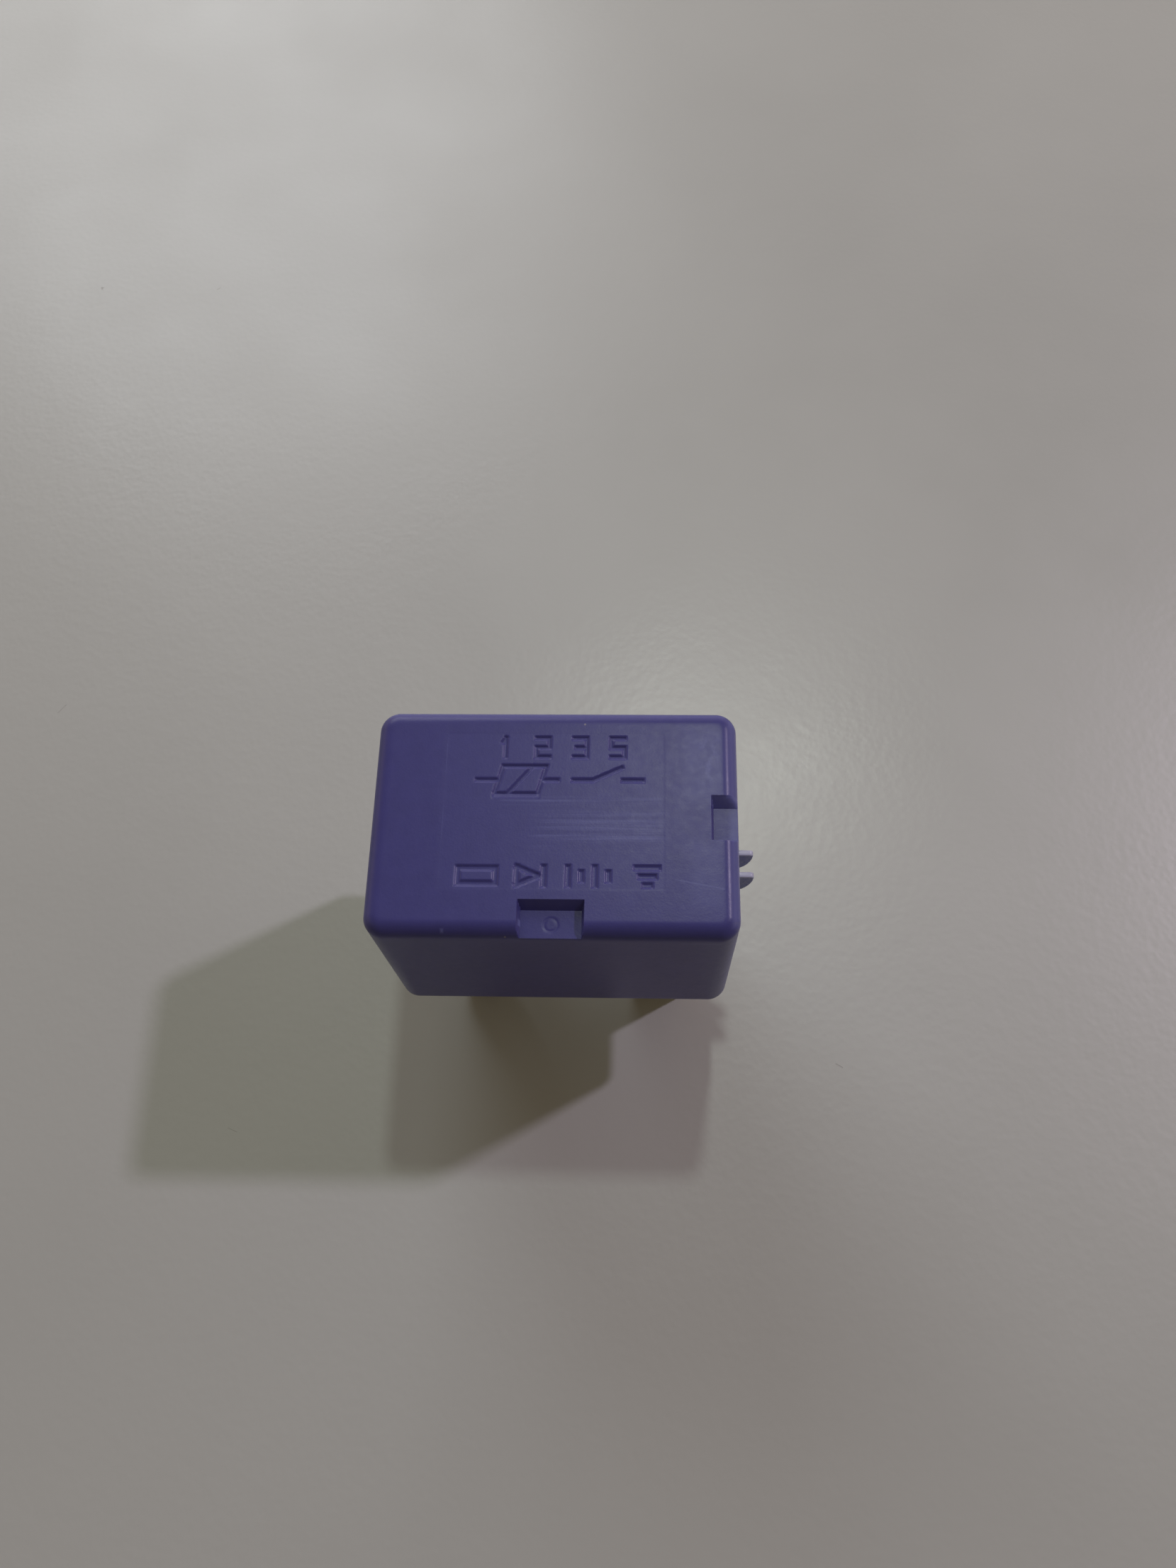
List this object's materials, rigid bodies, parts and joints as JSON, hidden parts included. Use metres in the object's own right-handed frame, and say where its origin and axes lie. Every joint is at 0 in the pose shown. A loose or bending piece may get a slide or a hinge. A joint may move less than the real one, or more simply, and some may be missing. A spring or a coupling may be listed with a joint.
{
  "type": "plug-in relay",
  "caption": "Compact plug-in relay with a rounded purple cover, flat blade terminals, twin lock ribs and a hinged-armature contact inside.",
  "frame": {"origin": "centre of the seating plane, the open rim of the cover, on the underside of the relay", "axes": "+Z from the blades towards the closed top, +X along the long side towards the contact end and its lock ribs, +Y across the short side"},
  "size_m": [0.0299, 0.0184, 0.0308],
  "materials": {
    "cover_plastic": "satin moulded, purple blue",
    "base_plastic": "matt moulded, black",
    "resin": "poured, glossy",
    "tinned_brass": "stamped strip, lightly tarnished",
    "coil_blade_metal": "stamped strip, tin plated",
    "plated_steel": "zinc plated",
    "bobbin_plastic": "natural, moulded",
    "enamelled_wire": "enamelled copper",
    "film_tape": "amber film",
    "resistor_coat": "lacquered",
    "tinned_wire": "tinned",
    "leaf_bronze": "rolled strip",
    "rivet_metal": "bright",
    "contact_silver": "silver alloy"
  },
  "bodies": {
    "base_unit": {"base": "base_plastic", "terminal_seals": "resin", "contact_terminal_common": "tinned_brass", "contact_terminal_no": "tinned_brass", "coil_terminal_a": "coil_blade_metal", "coil_terminal_b": "coil_blade_metal", "yoke": "plated_steel", "core": "plated_steel", "bobbin": "bobbin_plastic", "coil_winding": "enamelled_wire", "coil_tape": "film_tape", "coil_lead_start": "enamelled_wire", "coil_lead_finish": "enamelled_wire", "suppression_resistor": "resistor_coat", "resistor_lead_a": "tinned_wire", "resistor_lead_b": "tinned_wire", "return_spring": "leaf_bronze", "yoke_rivets": "rivet_metal", "back_stop": "plated_steel", "fixed_contact": "contact_silver"},
    "armature_unit": {"armature": "plated_steel", "contact_spring": "leaf_bronze", "armature_rivets": "rivet_metal", "moving_contact": "contact_silver"},
    "cover_shell": {"cover": "cover_plastic"}
  },
  "joints": [
    {"name": "armature_pivot", "type": "hinge", "parent": "base_unit", "child": "armature_unit", "pos_m": [-0.0122, 0, 0.01419], "axis": [0, 1, 0], "range_deg": [0, 3], "stiffness_Nm_per_rad": 0.02, "springref_deg": -5.73, "deforming": ["return_spring"]},
    {"name": "cover_lift", "type": "slide", "parent": "base_unit", "child": "cover_shell", "axis": [0, 0, 1], "range_m": [0, 0.024]}
  ]
}
